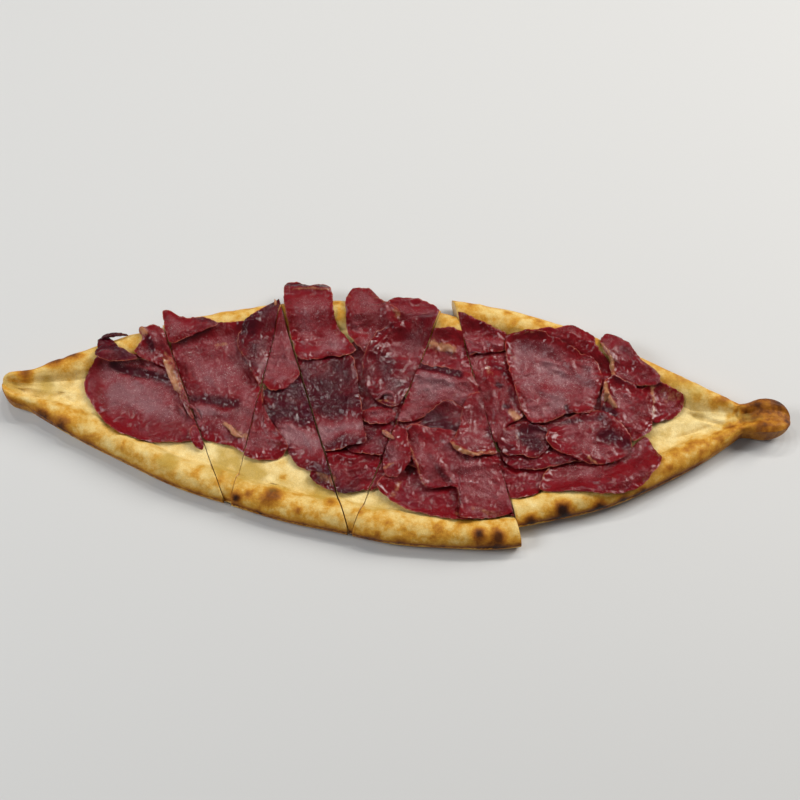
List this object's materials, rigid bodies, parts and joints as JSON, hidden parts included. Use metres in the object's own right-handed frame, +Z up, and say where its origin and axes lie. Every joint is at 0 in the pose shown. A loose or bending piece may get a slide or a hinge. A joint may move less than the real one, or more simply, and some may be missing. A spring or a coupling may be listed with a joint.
{
  "type": "turkish pide",
  "caption": "Long pointed flatbread with a folded rim and overlapping slices of cured beef, cut by diagonal knife cuts into pieces that keep the whole shape.",
  "frame": {"origin": "centre of the bounding box in plan, on the surface that the bread rests on", "axes": "+X along the bread towards its burnt knob, +Y towards the back edge, +Z up"},
  "size_m": [0.4522, 0.1636, 0.0211],
  "materials": {
    "baked_dough": "baked wheat dough, pale cream on the floor and along the rim's inner side, golden to brown on the rim, with dark blisters and burnt spots; matt, with a thin film of oil in places",
    "cured_beef": "thin baked slices of cured beef, maroon to purple with a pinkish greasy bloom, thinner and redder towards the edges, wet and glossy",
    "beef_fat": "strip of beef fat, tan with red streaks, greasy"
  },
  "bodies": {
    "root": {"beef_back_burnt_5": "cured_beef", "beef_back_fold_6": "cured_beef", "beef_back_lobe_4": "cured_beef", "beef_back_red_6": "cured_beef", "beef_back_round_4": "cured_beef", "beef_back_tall_4": "cured_beef", "beef_corner_6": "cured_beef", "beef_curled_6": "cured_beef", "beef_dark_fold_2": "cured_beef", "beef_draped_5": "cured_beef", "beef_end_right_6": "cured_beef", "beef_fat_strip_1": "beef_fat", "beef_flap_2": "cured_beef", "beef_folded_5": "cured_beef", "beef_front_left_3": "cured_beef", "beef_front_left_4": "cured_beef", "beef_front_left_5": "cured_beef", "beef_front_mid_5": "cured_beef", "beef_front_mid_6": "cured_beef", "beef_front_right_6": "cured_beef", "beef_glossy_6": "cured_beef", "beef_grey_6": "cured_beef", "beef_hook_1": "cured_beef", "beef_mid_left_3": "cured_beef", "beef_oval_1": "cured_beef", "beef_pale_5": "cured_beef", "beef_purple_4": "cured_beef", "beef_ragged_1": "cured_beef", "beef_ring_4": "cured_beef", "beef_sliver_5": "cured_beef", "beef_small_mid_4": "cured_beef", "beef_small_tip_1": "cured_beef", "beef_strip_right_6": "cured_beef", "beef_under_fold_5": "cured_beef", "beef_under_mid_4": "cured_beef", "beef_under_right_6": "cured_beef", "beef_wedge_3": "cured_beef", "beef_white_edge_5": "cured_beef", "beef_wide_left_2": "cured_beef", "beef_wide_left_3": "cured_beef", "beef_wrinkled_6": "cured_beef", "bread_1": "baked_dough", "bread_2": "baked_dough", "bread_3": "baked_dough", "bread_4": "baked_dough", "bread_5": "baked_dough", "bread_6": "baked_dough"}
  },
  "joints": []
}
